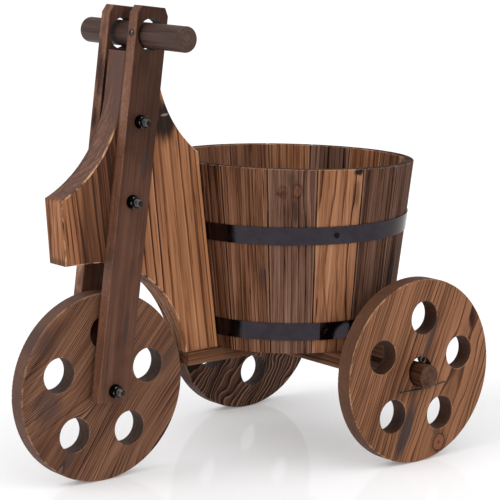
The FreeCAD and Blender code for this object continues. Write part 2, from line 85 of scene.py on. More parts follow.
def linear(red, green, blue):
    """An 8-bit screen colour as the linear colour that shaders take, by the sRGB rule."""
    def channel(value):
        share = value / 255
        return share / 12.92 if share <= 0.04045 else ((share + 0.055) / 1.055) ** 2.4
    return (channel(red), channel(green), channel(blue), 1.0)


def stained(red, green, blue):
    """The shader colour of wood that shows as this screen colour under its sheen."""
    colour = linear(red, green, blue)
    return tuple(max(channel - SHEEN, LEAST_COLOUR) for channel in colour[:3]) + (1.0,)


# Noise textures: repeats in a metre across, through and along the grain, then detail and roughness
Texture = namedtuple("Texture", "stretch detail roughness", defaults=(2.0, 0.5))
NOISE_MIDDLE = 0.5

# Sockets of the node that mixes two colours
MIX_SHARE = 0
MIX_FIRST = 6
MIX_SECOND = 7
MIX_RESULT = 2

# A face that looks sideways by less than the first share is an edge, and by more than the second a side
EDGEWISE = (0.3, 0.7)
# Drops the sideways part of a vector
SIDE_VIEW = (1, 0, 1)


class Graph:
    """A material's node tree, with short ways to add textures and sums."""

    def __init__(self, name):
        self.material = bpy.data.materials.new(name)
        self.material.use_nodes = True
        self.tree = self.material.node_tree
        self.shader = self.tree.nodes["Principled BSDF"]
        coordinates = self.add("TexCoord")
        self.place = coordinates.outputs["Object"]
        self.normal = coordinates.outputs["Normal"]

    def feed(self, socket, value):
        """Links a socket to another one, or sets it to a constant."""
        if isinstance(value, bpy.types.NodeSocket):
            self.tree.links.new(value, socket)
        else:
            socket.default_value = value

    def add(self, kind, settings=None, **inputs):
        """A new node; an underscore in an input's name stands for a space."""
        node = self.tree.nodes.new("ShaderNode" + kind)
        for key, value in (settings or {}).items():
            setattr(node, key, value)
        for key, value in inputs.items():
            self.feed(node.inputs[key.replace("_", " ")], value)
        return node

    def compute(self, operation, *values, clamp=False):
        node = self.add("Math", {"operation": operation, "use_clamp": clamp})
        for socket, value in zip(node.inputs, values):
            self.feed(socket, value)
        return node.outputs["Value"]

    def product(self, first, *others):
        for other in others:
            first = self.compute("MULTIPLY", first, other)
        return first

    def rest(self, share):
        """What a share leaves of one."""
        return self.compute("SUBTRACT", 1.0, share)

    def vector(self, operation, *values):
        node = self.add("VectorMath", {"operation": operation})
        for socket, value in zip(node.inputs, values):
            self.feed(socket, value)
        return node.outputs["Value" if operation in ("LENGTH", "DOT_PRODUCT") else "Vector"]

    def side_reach(self, centre):
        """How far a point lies from a place in the side view."""
        arm = self.vector("SUBTRACT", self.place, centre)
        return self.vector("LENGTH", self.vector("MULTIPLY", arm, SIDE_VIEW))

    def noise(self, vector, texture):
        place = self.vector("MULTIPLY", vector, texture.stretch)
        node = self.add("TexNoise", Vector=place, Scale=1.0, Detail=texture.detail,
                        Roughness=texture.roughness)
        return node.outputs["Fac"]

    def swing(self, noise, amount):
        """A noise turned into a swing about zero."""
        return self.compute("MULTIPLY", self.compute("SUBTRACT", noise, NOISE_MIDDLE), amount)

    def span(self, value, low, high, to_low=0.0, to_high=1.0):
        """A smooth step from one result to another while a value goes from low to high."""
        node = self.add("MapRange", {"interpolation_type": "SMOOTHSTEP"}, Value=value, From_Min=low,
                        From_Max=high, To_Min=to_low, To_Max=to_high)
        return node.outputs["Result"]

    def fade(self, value, low, high, share=1.0):
        """A share that falls to nothing while a value goes from low to high."""
        return self.span(value, low, high, share, 0.0)

    def ramp(self, value, stops):
        node = self.add("ValToRGB", Fac=value)
        elements = node.color_ramp.elements
        while len(elements) < len(stops):
            elements.new(1.0)
        for element, (place, colour) in zip(elements, stops):
            element.position = place
            element.color = colour
        return node.outputs["Color"]

    def mix(self, share, first, second):
        node = self.add("Mix", {"data_type": "RGBA"})
        for socket, value in ((MIX_SHARE, share), (MIX_FIRST, first), (MIX_SECOND, second)):
            self.feed(node.inputs[socket], value)
        return node.outputs[MIX_RESULT]

    def toward(self, axis):
        """How far a face looks along an axis: 1 straight along it, 0 beside it, and -1 away from it."""
        return self.vector("DOT_PRODUCT", self.normal, axis)

    def facing(self, axis):
        """1 on faces that look along an axis, either way, and 0 on faces beside it."""
        return self.compute("ABSOLUTE", self.toward(axis))

    def edgewise(self):
        """1 on the faces of a board's edges and holes, and 0 on its left and right faces."""
        return self.fade(self.facing(LEFT), *EDGEWISE)

    def arris(self, axis):
        """1 on the worn edge between faces that look along an axis and faces beside it."""
        square = self.compute("POWER", self.facing(axis), 2.0)
        both = self.product(square, self.rest(square))
        return self.compute("MULTIPLY", both, 4.0, clamp=True)


# Stains: the burnt line, dark, body, light and worn tone of each kind of board
STAINS = {
    "panel": ((52, 31, 21), (112, 71, 48), (154, 104, 73), (178, 126, 90), (206, 160, 124)),
    "fork": ((40, 26, 21), (68, 46, 37), (92, 63, 51), (116, 81, 65), (150, 112, 90)),
    "bar": ((30, 22, 20), (56, 43, 39), (76, 59, 53), (98, 78, 70), (124, 100, 90)),
    "axle": ((28, 18, 13), (56, 37, 29), (80, 54, 43), (106, 74, 59), (136, 100, 80)),
    "front_wheel": ((40, 25, 18), (78, 52, 40), (114, 80, 62), (144, 105, 82), (176, 134, 106)),
    "rear_wheel": ((54, 33, 23), (100, 66, 47), (140, 96, 69), (166, 118, 87), (194, 149, 114)),
    "far_wheel": ((24, 14, 9), (50, 32, 24), (84, 58, 45), (112, 80, 62), (140, 104, 82)),
    "base": ((38, 23, 16), (74, 48, 34), (104, 71, 52), (130, 92, 68), (156, 116, 90)),
    "stave": ((36, 22, 16), (70, 46, 35), (104, 72, 56), (136, 97, 76), (172, 130, 104)),
    "grey_stave": ((40, 28, 24), (72, 52, 44), (102, 75, 63), (130, 99, 84), (162, 128, 110)),
    "warm_stave": ((48, 30, 21), (100, 66, 47), (146, 101, 75), (170, 123, 93), (192, 148, 116)),
}
TONE_STOPS = (0.0, 0.25, 0.5, 0.75, 1.0)
BODY_TONE = 0.5
SOOT = stained(64, 54, 53)
CHAR = stained(34, 24, 20)
KNOT = stained(150, 97, 72)

# How far a seed shifts a board's textures across, through and along it
SEED_STEPS = (1.0, 0.7, 1.3)

# A ragged patch on a board: its place, its radii across, through and along the board, and its strength
Patch = namedtuple("Patch", "place radii share")
# Its full core as a share of its radii, and its ragged edge's least repeats in a metre and in a radius
PATCH_CORE = 0.4
PATCH_ACROSS = 70
PATCH_ALONG = 24
PATCH_ACROSS_REPEATS = 0.9
PATCH_ALONG_REPEATS = 0.6
PATCH_DETAIL = 3.0
PATCH_ROUGHNESS = 0.6

# Knots, in shares of their radius, with the strengths of their parts
SPLIT_REACH = 2.4
KNOT_SPLIT = (2, 4)
KNOT_SPLIT_PUSH = 0.7
KNOT_EDGE = Texture((200, 200, 200))
KNOT_HALO = (0.9, 2.0)
KNOT_HALO_SHADE = -0.16
KNOT_RIM = (0.82, 1.0)
KNOT_RING_RATE = 17.0
KNOT_RING_SWING = 0.12
KNOT_RING_TONE = 0.75
KNOT_HEART = (0.0, 0.3)
KNOT_HEART_SHADE = 0.6
KNOT_CRACK = (0.02, 0.16)
KNOT_CRACK_SHARE = 0.8

# Year rings: how they wander and break, and the parts of a year, as shares of it
RING_SWAY = 3.2
RING_WANDER_ACROSS = 14
RING_WANDER = 2.4
RING_RIPPLE_TEXTURE = Texture((70, 70, 9))
RING_RIPPLE = 0.35
RING_BUNCHES = 45.0
RING_BREAK_TEXTURE = Texture((26, 26, 6))
RING_BREAKS = (0.36, 0.6)
ACROSS_GRAIN = (1, 1, 0)
SECOND_DRAW = 0.37
LINE_FULL = 0.9
LINE_FALL = (0.93, 1.0)
RIDGE_FALL = (0.05, 0.32)

# Streaks, cracks and scorch along the grain, and breaks in the worn edges
BROAD_STREAKS = Texture((80, 80, 2.6), 3.0, 0.6)
FINE_STREAKS = Texture((300, 300, 5), 3.0, 0.65)
FIBRES = Texture((700, 700, 16), 4.0, 0.7)
CRACK_TEXTURE = Texture((420, 420, 9), 3.0, 0.6)
CRACKS = (0.6, 0.68)
SCORCH_TEXTURE = Texture((18, 18, 6), 3.0, 0.55)
SCORCHES = (0.5, 0.75)
WEAR_TEXTURE = Texture((120, 120, 40), 3.0, 0.6)
WEAR_BREAKS = (0.42, 0.6)

# Brushed relief, and how much rougher the dark tones and smoother the light ones are
FIBRE_RELIEF = 0.35
RELIEF_STRENGTH = 0.7
DARK_ROUGHER = 0.12
LIGHT_SMOOTHER = 0.06


def board_frame(along, across):
    """Unit directions of a board: across its face, through it, and along the grain."""
    along = along.normalized()
    across = (across - along * across.dot(along)).normalized()
    return across, along.cross(across), along


class Wood(Graph):
    """A burnt and brushed softwood board in layers: rings about a pith, fibres, soot, knots and wear."""

    def __init__(self, name, stain, along, across, pith, seed=0.0):
        super().__init__(name)
        self.stops = [(place, stained(*tone)) for place, tone in zip(TONE_STOPS, STAINS[stain])]
        self.worn = self.stops[-1][1]
        self.axes = Matrix(board_frame(along, across))
        self.pith = Vector(pith)
        mapping = self.add("Mapping", {"vector_type": "TEXTURE"}, Vector=self.place,
                           Location=self.pith, Rotation=self.axes.transposed().to_euler())
        self.local = mapping.outputs["Vector"]
        self.drift = self.vector("ADD", self.local, tuple(seed * step for step in SEED_STEPS))
        self.tone = BODY_TONE
        self.push = 0.0
        self.line = 0.0
        self.fibre = 0.0
        self.quiet = 1.0
        self.coats = []

    def lighten(self, amount):
        """Adds to the tone; an amount below zero darkens it."""
        self.tone = self.compute("ADD", self.tone, amount)

    def coat(self, share, colour):
        """Lays a colour over the grain."""
        self.coats.append((share, colour))

    def offset(self, centre):
        """Where a point lies from a place on the board, across, through and along it."""
        return self.vector("SUBTRACT", self.local, self.axes @ (Vector(centre) - self.pith))

    def offset_parts(self, centre):
        return self.add("SeparateXYZ", Vector=self.offset(centre)).outputs

    def away(self, centre, radii):
        """How far a point lies from a place, as a share of radii across, through and along the board."""
        return self.vector("LENGTH", self.vector("DIVIDE", self.offset(centre), radii))

    def blot(self, patch, ragged=0.5):
        """A share inside a ragged patch, which fades to nothing outside it."""
        across = max(PATCH_ACROSS, PATCH_ACROSS_REPEATS / patch.radii[0])
        along = max(PATCH_ALONG, PATCH_ALONG_REPEATS / patch.radii[2])
        texture = Texture((across, PATCH_ACROSS, along), PATCH_DETAIL, PATCH_ROUGHNESS)
        rough = self.swing(self.noise(self.drift, texture), ragged * 2)
        reach = self.compute("ADD", self.away(patch.place, patch.radii), rough)
        return self.fade(reach, PATCH_CORE, 1.0, patch.share)

    def calm(self, patch):
        """Takes a share of the grain lines away in a patch."""
        self.quiet = self.product(self.quiet, self.rest(self.blot(patch)))

    def split(self, centre, radii, amount):
        """Parts the grain lines round a place, by an amount either way."""
        across = self.offset_parts(centre)["X"]
        side = self.span(across, -radii[0], radii[0], amount, -amount)
        near = self.fade(self.away(centre, radii), 0.0, SPLIT_REACH)
        self.push = self.compute("MULTIPLY_ADD", side, near, self.push)

    def fan(self, centre, width, front, rear):
        """Spreads the grain lines below a place, by one slope in front of it and another behind."""
        parts = self.offset_parts(centre)
        below = self.compute("MAXIMUM", self.product(parts["Z"], -1.0), 0.0)
        slope = self.span(parts["X"], -width, width, rear, -front)
        self.push = self.compute("MULTIPLY_ADD", slope, below, self.push)

    def knot(self, centre, radius, squeeze=0.85, share=0.85, ragged=0.35):
        """A branch's knot: the grain parts round it, its rim is cracked and its heart is red."""
        split_across, split_along = KNOT_SPLIT
        radii = (radius * split_across, 1.0, radius * split_along)
        self.split(centre, radii, radius * KNOT_SPLIT_PUSH)
        away = self.away(centre, (radius, 1.0, radius / squeeze))
        edge = self.swing(self.noise(self.drift, KNOT_EDGE), ragged)
        away = self.compute("ADD", away, edge)
        self.lighten(self.fade(away, *KNOT_HALO, KNOT_HALO_SHADE))
        wave = self.compute("SINE", self.product(away, KNOT_RING_RATE))
        rings = self.compute("MULTIPLY_ADD", wave, KNOT_RING_SWING, KNOT_RING_TONE)
        heart = self.fade(away, *KNOT_HEART, KNOT_HEART_SHADE)
        red = self.compute("SUBTRACT", rings, heart, clamp=True)
        self.coat(self.fade(away, *KNOT_RIM, share), self.mix(red, CHAR, KNOT))
        from_rim = self.compute("ABSOLUTE", self.compute("SUBTRACT", away, 1.0))
        self.coat(self.fade(from_rim, *KNOT_CRACK, share * KNOT_CRACK_SHARE), CHAR)

    def wandering_reach(self, wobble, sway):
        """The distance from the pith, made to wander as the growth of a tree does."""
        texture = Texture((RING_WANDER_ACROSS, RING_WANDER_ACROSS, sway))
        slow = self.swing(self.noise(self.drift, texture), wobble * RING_WANDER)
        fine = self.swing(self.noise(self.drift, RING_RIPPLE_TEXTURE), wobble * RING_RIPPLE)
        flat = self.vector("LENGTH", self.vector("MULTIPLY", self.local, ACROSS_GRAIN))
        pushed = self.compute("ADD", flat, self.push)
        return self.compute("ADD", pushed, self.compute("ADD", slow, fine))

    def draw(self, number):
        """A fixed random share for a number."""
        return self.add("TexWhiteNoise", {"noise_dimensions": "1D"}, W=number).outputs["Value"]

    def rings(self, spacing, wobble=0.006, bunch=1.2, lines=0.5, ridges=0.15, bands=0.2, start=0.35,
              patchy=0.5, least=0.2, sway=RING_SWAY):
        """Late-wood lines about the pith, each with a pale ridge, in years of uneven tone and width."""
        reach = self.wandering_reach(wobble, sway)
        years = self.add("TexNoise", {"noise_dimensions": "1D"}, W=self.product(reach, RING_BUNCHES),
                         Scale=1.0)
        even = self.compute("DIVIDE", reach, spacing)
        count = self.compute("MULTIPLY_ADD", years.outputs["Fac"], bunch, even)
        phase = self.compute("FRACT", count)
        year = self.compute("FLOOR", count)
        weight = self.draw(year)
        other = self.draw(self.compute("ADD", year, SECOND_DRAW))
        break_noise = self.noise(self.drift, RING_BREAK_TEXTURE)
        broken = self.span(break_noise, *RING_BREAKS, 1.0 - patchy, 1.0)
        weight = self.compute("MULTIPLY_ADD", weight, 1.0 - least, least)
        strength = self.product(weight, self.quiet, broken)
        rise = self.span(phase, start, LINE_FULL)
        fall = self.fade(phase, *LINE_FALL)
        self.line = self.product(rise, rise, fall, strength)
        ridge = self.product(self.fade(phase, *RIDGE_FALL), strength)
        self.lighten(self.product(self.line, -lines))
        self.lighten(self.product(ridge, ridges))
        self.lighten(self.product(self.swing(other, bands), self.quiet))

    def streaks(self, broad=0.7, fibres=0.45, scorch=0.2, cracks=0.2):
        """Streaks along the board, broad and fine, short dark cracks, and a scorch that comes and goes."""
        self.fibre = self.noise(self.drift, FIBRES)
        self.lighten(self.swing(self.noise(self.drift, BROAD_STREAKS), broad))
        self.lighten(self.swing(self.noise(self.drift, FINE_STREAKS), fibres))
        self.lighten(self.swing(self.fibre, fibres))
        crack = self.span(self.noise(self.drift, CRACK_TEXTURE), *CRACKS)
        self.lighten(self.product(crack, -cracks))
        self.lighten(self.span(self.noise(self.drift, SCORCH_TEXTURE), *SCORCHES, 0.0, -scorch))

    def wear(self, axis, share, where=1.0):
        """Pale wood rubbed bare along the edges, in broken lengths."""
        broken = self.span(self.noise(self.drift, WEAR_TEXTURE), *WEAR_BREAKS)
        self.coat(self.product(self.arris(axis), broken, where, share), self.worn)

    def done(self, relief=0.0006, rough=0.6, gloss=0.2):
        """The finished material: its tone as colour, under its coats, with a brushed relief."""
        tone = self.compute("ADD", self.tone, 0.0, clamp=True)
        colour = self.ramp(tone, self.stops)
        for share, layer in self.coats:
            colour = self.mix(share, colour, layer)
        height = self.compute("MULTIPLY_ADD", self.fibre, FIBRE_RELIEF, self.rest(self.line))
        bump = self.add("Bump", Height=height, Strength=RELIEF_STRENGTH, Distance=relief)
        roughness = self.span(tone, 0.0, 1.0, rough + DARK_ROUGHER, rough - LIGHT_SMOOTHER)
        self.feed(self.shader.inputs["Base Color"], colour)
        self.feed(self.shader.inputs["Roughness"], roughness)
        self.feed(self.shader.inputs["Normal"], bump.outputs["Normal"])
        self.shader.inputs["Specular IOR Level"].default_value = gloss
        return self.material


# Black paint: its unevenness and grit, and how much of the usual bright edge it keeps
MOTTLE_TEXTURE = Texture((70, 70, 70), 4.0, 0.6)
MOTTLE = (0.3, 0.7)
MOTTLE_SMOOTHER = 0.04
MOTTLE_ROUGHER = 0.05
GRIT_TEXTURE = Texture((1100, 1100, 1100), 2.0, 0.6)
GRIT_RELIEF = 0.15
PAINT_RELIEF = 0.0003
PAINT_RELIEF_STRENGTH = 0.3
# How strong the painted edge highlight is, partly paint rubbed bright
WORN_HIGHLIGHT_SHARE = 0.7
EDGE_GLOSS = (0.75, 0.72, 0.7, 1.0)


def painted_steel(name, rough, dull, bright, worn_highlight=None):
    """Black paint on steel: a dark mirror between two colours, with a painted highlight of a third colour
    on the edges, partly paint rubbed bright.
    """
    graph = Graph(name)
    mottle = graph.noise(graph.place, MOTTLE_TEXTURE)
    grit = graph.noise(graph.place, GRIT_TEXTURE)
    colour = graph.mix(graph.span(mottle, *MOTTLE), linear(*dull), linear(*bright))
    if worn_highlight:
        # A painted highlight on the edges, partly paint rubbed bright
        colour = graph.mix(graph.product(graph.arris(LEFT), WORN_HIGHLIGHT_SHARE), colour, linear(*worn_highlight))
    roughness = graph.span(mottle, *MOTTLE, rough - MOTTLE_SMOOTHER, rough + MOTTLE_ROUGHER)
    height = graph.compute("MULTIPLY_ADD", grit, GRIT_RELIEF, mottle)
    bump = graph.add("Bump", Height=height, Strength=PAINT_RELIEF_STRENGTH, Distance=PAINT_RELIEF)
    graph.feed(graph.shader.inputs["Base Color"], colour)
    graph.feed(graph.shader.inputs["Roughness"], roughness)
    graph.feed(graph.shader.inputs["Normal"], bump.outputs["Normal"])
    graph.shader.inputs["Metallic"].default_value = 1.0
    graph.shader.inputs["Specular Tint"].default_value = EDGE_GLOSS
    return graph.material


def dress(node, material):
    """Gives a carried-over solid its material."""
    slots = nodes[node].data.materials
    slots.clear()
    slots.append(material)


# Frame panel: one broad board whose pith lies well behind its face, so its lines close up at the nose
BARREL_LEAN = Vector((BARREL_TAPER, 0, 1))
PANEL_PITH = Vector((-0.041, -0.196, 0.30))
PANEL_SCORCH = Patch(Vector((0.0870, PANEL_HALF, 0.412)), (0.026, 0.05, 0.034), 0.95)
PANEL_BARE_SPOT = Patch(Vector((0.0860, PANEL_HALF, 0.4165)), (0.007, 0.05, 0.002), 0.8)
PANEL_BARE_RAGGED = 0.8
PANEL_SIDE = (0.5, 0.9)
PANEL_EDGE = (0.6, 0.95)
PANEL_EDGE_TEXTURE = Texture((12, 330, 12), 3.0, 0.65)
PANEL_EDGE_GRAIN = 1.2
BARE_WOOD = stained(160, 132, 118)

# Where the panel's look changes along its length, and by how much
NOSE_CALM = (0.185, 0.21)
NOSE_GRAIN = 0.5
NOSE_FACE = (0.195, 0.207)
NOSE_FACE_SHADE = 0.02
# A band on the sides between the fork blade and the nose, darker with soot and with painted shade from the
# blade
DARK_BAND_REAR = (0.11, 0.16)
DARK_BAND_FRONT = (0.192, 0.206)
DARK_BAND_SHADE = -0.3
DARK_BAND_SHARE = 0.4
SOOT_AND_SHADE_BAND = stained(78, 56, 46)
FRONT_EDGES = (0.09, 0.12)

# Where the panel's look changes with height, and by how much
PANEL_FOOT = (0.16, 0.24)
PANEL_FOOT_SHADE = 0.07
NOSE_TOP_Z = 0.331
NOSE_TOP_BLEND = 0.004
FRONT_CURVE_SHADE = -0.33
FRONT_CURVE_SHARE = 0.55
FRONT_CURVE = stained(112, 88, 79)
PANEL_TOP = (0.38, 0.47)
PANEL_TOP_SHADE = -0.2
# Painted shadow on the front edge under the arch, below this height
ARCH_TOP_Z = 0.258
ARCH_FULL = 0.002
ARCH_END = 0.008
ARCH_SHARE = 0.6
ARCH_SHADOW = stained(76, 54, 44)
PANEL_WEAR_TOP = (0.39, 0.41)
PANEL_WEAR_SHARE = 0.9

# The panel's rear edge, as measured on the solid, with a painted highlight strip and a dark line just
# ahead of it
PANEL_REAR = Vector((0.01068, PANEL_HALF, 0.1367))
REAR_STRIP_END = (0.0032, 0.0036)
REAR_STRIP_SHARE = 0.6
REAR_HIGHLIGHT = stained(192, 130, 86)
REAR_LINE_START = (0.0034, 0.0038)
REAR_LINE_END = (0.0048, 0.0054)
REAR_LINE_SHARE = 0.85
REAR_LINE = stained(80, 50, 35)


# Darkens the sides between the blade and the nose: soot, and painted shade cast by the blade
def soot_and_shade_behind_nose(wood, ahead, side):
    band = wood.product(wood.span(ahead, *DARK_BAND_REAR), wood.fade(ahead, *DARK_BAND_FRONT), side)
    wood.lighten(wood.product(band, DARK_BAND_SHADE))
    wood.coat(wood.product(band, DARK_BAND_SHARE), SOOT_AND_SHADE_BAND)


def shade_panel_edges(wood, ahead, height):
    """The sawn edges: streaked, grey on the hollow curve, in painted shadow under the arch, and dark
    towards the top.
    """
    edge = wood.fade(wood.facing(LEFT), *PANEL_EDGE)
    streak = wood.swing(wood.noise(wood.place, PANEL_EDGE_TEXTURE), PANEL_EDGE_GRAIN)
    wood.lighten(wood.product(edge, streak))
    front = wood.product(edge, wood.span(ahead, *FRONT_EDGES))
    above_nose = wood.span(height, NOSE_TOP_Z - NOSE_TOP_BLEND, NOSE_TOP_Z + NOSE_TOP_BLEND)
    curve = wood.product(front, above_nose)
    wood.lighten(wood.product(curve, FRONT_CURVE_SHADE))
    wood.coat(wood.product(curve, FRONT_CURVE_SHARE), FRONT_CURVE)
    wood.lighten(wood.product(edge, wood.span(height, *PANEL_TOP, 0.0, PANEL_TOP_SHADE)))
    # Painted shadow on the front edge under the arch
    under = wood.product(front, wood.fade(height, ARCH_TOP_Z + ARCH_FULL, ARCH_TOP_Z + ARCH_END))
    wood.coat(wood.product(under, ARCH_SHARE), ARCH_SHADOW)


def mark_rear_edge(wood, side):
    ahead_of_rear = wood.offset_parts(PANEL_REAR)["X"]
    # A painted highlight strip along the rear edge
    wood.coat(wood.fade(ahead_of_rear, *REAR_STRIP_END, REAR_STRIP_SHARE), REAR_HIGHLIGHT)
    start = wood.span(ahead_of_rear, *REAR_LINE_START)
    end = wood.fade(ahead_of_rear, *REAR_LINE_END, REAR_LINE_SHARE)
    wood.coat(wood.product(start, end, side), REAR_LINE)


def panel_wood():
    wood = Wood("panel_wood", "panel", BARREL_LEAN, FORWARD, PANEL_PITH)
    ahead = wood.vector("DOT_PRODUCT", wood.place, FORWARD)
    height = wood.vector("DOT_PRODUCT", wood.place, UP)
    side = wood.span(wood.facing(LEFT), *PANEL_SIDE)
    wood.quiet = wood.span(ahead, *NOSE_CALM, 1.0, NOSE_GRAIN)
    wood.rings(spacing=0.006, wobble=0.004, bunch=1.3, lines=0.72, ridges=0.16, bands=0.3, start=0.58,
               patchy=0.3, least=0.4)
    wood.streaks(broad=0.9, fibres=0.6, scorch=0.1, cracks=0.35)
    soot_and_shade_behind_nose(wood, ahead, side)
    wood.lighten(wood.span(ahead, *NOSE_FACE, 0.0, NOSE_FACE_SHADE))
    wood.lighten(wood.fade(height, *PANEL_FOOT, PANEL_FOOT_SHADE))
    shade_panel_edges(wood, ahead, height)
    wood.coat(wood.blot(PANEL_SCORCH), CHAR)
    wood.coat(wood.blot(PANEL_BARE_SPOT, PANEL_BARE_RAGGED), BARE_WOOD)
    mark_rear_edge(wood, side)
    wood.wear(LEFT, PANEL_WEAR_SHARE, wood.fade(height, *PANEL_WEAR_TOP))
    return wood.done()


dress("frame_panel", panel_wood())

# Fork blades: darker towards the top, blotched, with a sawn front edge lightened partly as painted light,
# a painted grey sheen on the back, and burnt holes with painted shade inside
RAKE_UP = Vector((-math.sin(FORK_RAKE), 0, math.cos(FORK_RAKE)))
RAKE_AHEAD = Vector((math.cos(FORK_RAKE), 0, math.sin(FORK_RAKE)))
BLADE_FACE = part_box("fork_blade_left")[1].y
FORK_PITH_BEHIND = 0.03
FORK_TOP = (0.30, 0.42)
FORK_LOW = (0.24, 0.32)
FORK_BLOTCH_TEXTURE = Texture((30, 30, 16), 3.0, 0.55)
FORK_BLOTCHES = (0.42, 0.58)
# The blade's forward faces, lightened more near the top: partly painted light, partly sawn wood
FORK_FRONT = (0.5, 0.9)
FORK_FRONT_HEIGHTS = (0.34, 0.43)
FORK_FRONT_PAINTED_LIGHT_AND_SAWN = (0.14, 0.34)
FORK_SAWN_TEXTURE = Texture((420, 420, 800), 3.0, 0.7)
FORK_SAWN = 0.9
FORK_REAR = (-0.012, -0.016)
# A painted grey sheen on the blade's back, where its faces look backwards
FORK_BACK_FACING = (-0.2, -0.6)
FORK_BACK_SHARE = 0.55
FORK_BACK_SHEEN = stained(72, 64, 67)
# The handlebar hole's walls, dark with burning and with painted shade inside the hole
BAR_HOLE_REACH = (0.0205, 0.0215)
BAR_HOLE_SHARE = 0.95
FORK_WEAR_SHARE = 0.3
FORK_SOOT = (
    Patch(Vector((0.1529, BLADE_FACE, 0.1819)), (0.005, 0.02, 0.034), 0.70),
    Patch(Vector((0.1266, BLADE_FACE, 0.3641)), (0.005, 0.02, 0.024), 0.60),
    Patch(Vector((0.1699, BLADE_FACE, 0.2585)), (0.004, 0.02, 0.020), 0.40),
)


def fork_wood(name, pith_left, top_shade, low_shade, blotches, seed, soot=()):
    pith = FRONT_HUB + LEFT * pith_left - RAKE_AHEAD * FORK_PITH_BEHIND
    wood = Wood(name, "fork", RAKE_UP, RAKE_AHEAD, pith, seed)
    wood.rings(spacing=0.006, wobble=0.005, lines=0.06, ridges=0.03, bands=0.05)
    wood.streaks(broad=0.5, fibres=0.35, scorch=0.1, cracks=0.1)
    height = wood.vector("DOT_PRODUCT", wood.place, UP)
    wood.lighten(wood.span(height, *FORK_TOP, 0.0, top_shade))
    wood.lighten(wood.fade(height, *FORK_LOW, low_shade))
    blotch = wood.noise(wood.drift, FORK_BLOTCH_TEXTURE)
    wood.lighten(wood.span(blotch, *FORK_BLOTCHES, -blotches, blotches))
    # Forward faces lighter, more so near the top: partly painted light, partly sawn wood
    ahead = wood.toward(RAKE_AHEAD)
    front = wood.span(ahead, *FORK_FRONT)
    wood.lighten(wood.product(front, wood.span(height, *FORK_FRONT_HEIGHTS, *FORK_FRONT_PAINTED_LIGHT_AND_SAWN)))
    sawn = wood.swing(wood.noise(wood.drift, FORK_SAWN_TEXTURE), FORK_SAWN)
    wood.lighten(wood.product(front, sawn))
    # A painted grey sheen on the faces that look backwards at the blade's back edge
    arm = wood.vector("SUBTRACT", wood.place, FRONT_HUB)
    rear = wood.span(wood.vector("DOT_PRODUCT", arm, RAKE_AHEAD), *FORK_REAR)
    back = wood.span(ahead, *FORK_BACK_FACING, 0.0, FORK_BACK_SHARE)
    wood.coat(wood.product(rear, back), FORK_BACK_SHEEN)
    # Dark walls in the handlebar hole: burnt, and painted shade inside the hole
    hole_burn_and_shade = wood.fade(wood.side_reach(BAR_MIDDLE), *BAR_HOLE_REACH, BAR_HOLE_SHARE)
    wood.coat(wood.product(wood.edgewise(), hole_burn_and_shade), CHAR)
    for patch in soot:
        wood.coat(wood.blot(patch), SOOT)
    wood.wear(LEFT, FORK_WEAR_SHARE)
    return wood.done(relief=0.0003, rough=0.5)


left_fork_wood = fork_wood("fork_left_wood", pith_left=0.08, top_shade=-0.19, low_shade=0.0,
                           blotches=0.05, seed=1.0, soot=FORK_SOOT)
right_fork_wood = fork_wood("fork_right_wood", pith_left=-0.09, top_shade=-0.32, low_shade=0.24,
                            blotches=0.22, seed=2.0)
dress("fork_blade_left", left_fork_wood)
dress("fork_blade_right", right_fork_wood)

# Dowels: the handlebar and the rear axle, with paler ends
DOWEL_PITH_ABOVE = 0.003
DOWEL_END = (0.8, 0.95)
DOWEL_END_SHADE = 0.1
DOWEL_WEAR_SHARE = 0.35


def dowel_wood(name, stain, middle, lines, seed):
    wood = Wood(name, stain, LEFT, UP, middle + UP * DOWEL_PITH_ABOVE, seed)
    wood.rings(spacing=0.0022, wobble=0.003, lines=lines, ridges=lines / 2, bands=0.1)
    wood.streaks(broad=0.3, fibres=0.4, scorch=0.2)
    wood.lighten(wood.span(wood.facing(LEFT), *DOWEL_END, 0.0, DOWEL_END_SHADE))
    wood.wear(LEFT, DOWEL_WEAR_SHARE)
    return wood.done(relief=0.0004, rough=0.5)


dress("handlebar", dowel_wood("bar_wood", "bar", BAR_MIDDLE, lines=0.12, seed=3.0))
dress("rear_axle", dowel_wood("axle_wood", "axle", AXLE_MIDDLE, lines=0.3, seed=7.0))

# Wheels: a tread darkened with soot and painted shade, and burnt holes; the tread begins at these
# distances from the hub
TREAD_REACH = (WHEEL_RADIUS * 0.9, WHEEL_RADIUS * 0.97)
TREAD_SHARE = 0.75
TREAD_QUIET = 0.7
HOLE_TEXTURE = Texture((600, 600, 600), 3.0, 0.7)
HOLE_CRUMBS = (0.42, 0.58)
HOLE_SHARE = 0.72
WHEEL_WEAR_SHARE = 0.6
QUARTER_TURN = 90


def leaning(degrees):
    """A direction in the side view, leaning forward from upright by an angle."""
    angle = math.radians(degrees)
    return Vector((math.sin(angle), 0, math.cos(angle)))


def wheel_wood(name, stain, hub, lean, pith_across, pith_behind, seed, tread):
    """A wheel's board, with its grain leaning by an angle and its pith across and behind the hub."""
    across = leaning(lean + QUARTER_TURN)
    pith = hub + across * pith_across - LEFT * pith_behind
    wood = Wood(name, stain, leaning(lean), across, pith, seed)
    rim = wood.span(wood.side_reach(hub), *TREAD_REACH)
    beside = wood.edgewise()
    wood.quiet = wood.rest(wood.product(beside, TREAD_QUIET))
    # A darker tread colour: soot, and painted shade on the tread
    wood.coat(wood.product(beside, rim, TREAD_SHARE), tread)
    crumbs = wood.span(wood.noise(wood.place, HOLE_TEXTURE), *HOLE_CRUMBS)
    hole = wood.product(beside, wood.rest(rim))
    wood.coat(wood.product(hole, HOLE_SHARE), wood.mix(crumbs, CHAR, SOOT))
    wood.wear(LEFT, WHEEL_WEAR_SHARE)
    return wood


